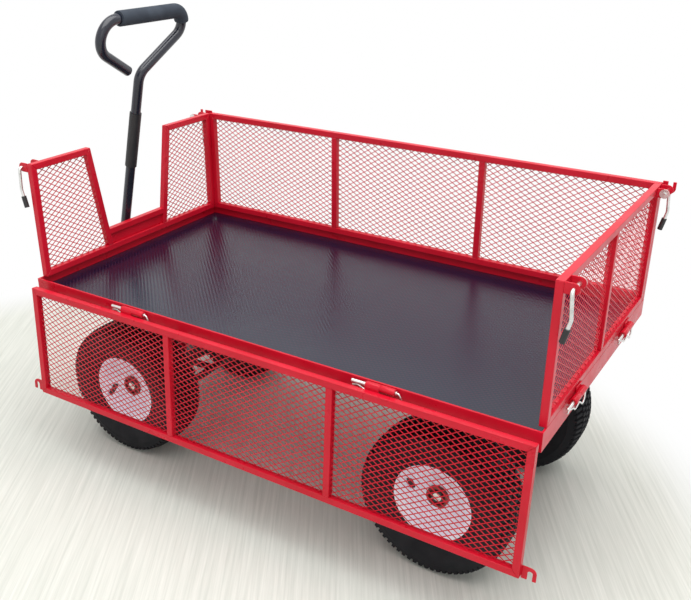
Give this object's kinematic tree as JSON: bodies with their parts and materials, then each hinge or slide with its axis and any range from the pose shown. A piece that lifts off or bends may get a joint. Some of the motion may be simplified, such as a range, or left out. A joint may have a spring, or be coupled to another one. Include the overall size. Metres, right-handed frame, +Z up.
{
  "type": "garden trolley",
  "caption": "Flat-deck garden trolley with drop-down mesh sides, steered front wheels and a long pull handle",
  "frame": {"origin": "on the ground under the middle of the whole trolley", "axes": "+X forward to the pull handle, +Y left to the folded side, +Z up"},
  "size_m": [1.3806, 0.711, 1.0307],
  "materials": {
    "red_paint": "gloss red powder coat",
    "deck_board": "black film-faced ply with a fine non-slip pattern",
    "zinc": "bright zinc plate",
    "black_cap": "matt black plastic",
    "black_steel": "black paint",
    "black_gloss": "gloss black paint",
    "foam": "black closed-cell foam",
    "tyre": "black rubber",
    "rim_paint": "white paint",
    "hub_steel": "red-brown primer"
  },
  "bodies": {
    "chassis": {"deck_frame": "red_paint", "deck_board": "deck_board", "cross_members": "red_paint", "front_panel": "red_paint", "front_latch_bolts": "zinc", "front_latch_caps": "black_cap", "hinge_pins": "zinc", "rear_axle": "black_steel", "rear_axle_brackets": "red_paint", "front_axle": "black_steel", "front_axle_brackets": "red_paint"},
    "left_side": {"side_left_panel": "red_paint", "side_left_hooks": "red_paint"},
    "right_side": {"side_right_panel": "red_paint", "side_right_hooks": "red_paint"},
    "rear_end": {"rear_panel": "red_paint", "rear_latch_bolts": "zinc", "rear_latch_caps": "black_cap"},
    "steering_head": {"swivel": "black_steel", "pivot_bolt": "zinc"},
    "pull_handle": {"handle_tube": "black_gloss", "handle_sleeve": "black_cap", "handle_grip": "foam"},
    "left_knuckle": {"knuckle_left": "black_steel"},
    "right_knuckle": {"knuckle_right": "black_steel"},
    "steering_link": {"track_link": "black_steel"},
    "front_left_wheel": {"front_left_tyre": "tyre", "front_left_rim": "rim_paint", "front_left_hub": "hub_steel"},
    "front_right_wheel": {"front_right_tyre": "tyre", "front_right_rim": "rim_paint", "front_right_hub": "hub_steel"},
    "rear_left_wheel": {"rear_left_tyre": "tyre", "rear_left_rim": "rim_paint", "rear_left_hub": "hub_steel"},
    "rear_right_wheel": {"rear_right_tyre": "tyre", "rear_right_rim": "rim_paint", "rear_right_hub": "hub_steel"}
  },
  "joints": [
    {"name": "left_side_fold", "type": "hinge", "parent": "chassis", "child": "left_side", "pos_m": [-0.042, 0.3185, 0.44], "axis": [1, 0, 0], "range_deg": [0, 177]},
    {"name": "right_side_fold", "type": "hinge", "parent": "chassis", "child": "right_side", "pos_m": [-0.042, -0.3485, 0.44], "axis": [1, 0, 0], "range_deg": [0, 177]},
    {"name": "rear_end_fold", "type": "hinge", "parent": "chassis", "child": "rear_end", "pos_m": [-0.6695, -0.015, 0.44], "axis": [0, -1, 0], "range_deg": [0, 177]},
    {"name": "steering", "type": "hinge", "parent": "chassis", "child": "steering_head", "pos_m": [0.596, -0.015, 0.165], "axis": [0, 0, 1], "range_deg": [-28, 28]},
    {"name": "handle_tilt", "type": "hinge", "parent": "steering_head", "child": "pull_handle", "pos_m": [0.6666, -0.015, 0.25], "axis": [0, 1, 0], "range_deg": [0, 115]},
    {"name": "left_knuckle_turn", "type": "hinge", "parent": "chassis", "child": "left_knuckle", "pos_m": [0.401, 0.11, 0.165], "axis": [0, 0, 1], "range_deg": [-28, 28]},
    {"name": "right_knuckle_turn", "type": "hinge", "parent": "chassis", "child": "right_knuckle", "pos_m": [0.401, -0.14, 0.165], "axis": [0, 0, 1], "range_deg": [-28, 28]},
    {"name": "link_turn", "type": "hinge", "parent": "steering_head", "child": "steering_link", "pos_m": [0.536, -0.015, 0.124], "axis": [0, 0, 1], "range_deg": [-28, 28]},
    {"name": "front_left_spin", "type": "hinge", "parent": "left_knuckle", "child": "front_left_wheel", "pos_m": [0.401, 0.203, 0.165], "axis": [0, 1, 0], "continuous": true},
    {"name": "front_right_spin", "type": "hinge", "parent": "right_knuckle", "child": "front_right_wheel", "pos_m": [0.401, -0.233, 0.165], "axis": [0, 1, 0], "continuous": true},
    {"name": "rear_left_spin", "type": "hinge", "parent": "chassis", "child": "rear_left_wheel", "pos_m": [-0.435, 0.203, 0.165], "axis": [0, 1, 0], "continuous": true},
    {"name": "rear_right_spin", "type": "hinge", "parent": "chassis", "child": "rear_right_wheel", "pos_m": [-0.435, -0.233, 0.165], "axis": [0, 1, 0], "continuous": true}
  ],
  "couplings": [
    {"joint": "left_knuckle_turn", "follows": "steering", "ratio": 1},
    {"joint": "right_knuckle_turn", "follows": "steering", "ratio": 1},
    {"joint": "link_turn", "follows": "steering", "ratio": -1}
  ]
}
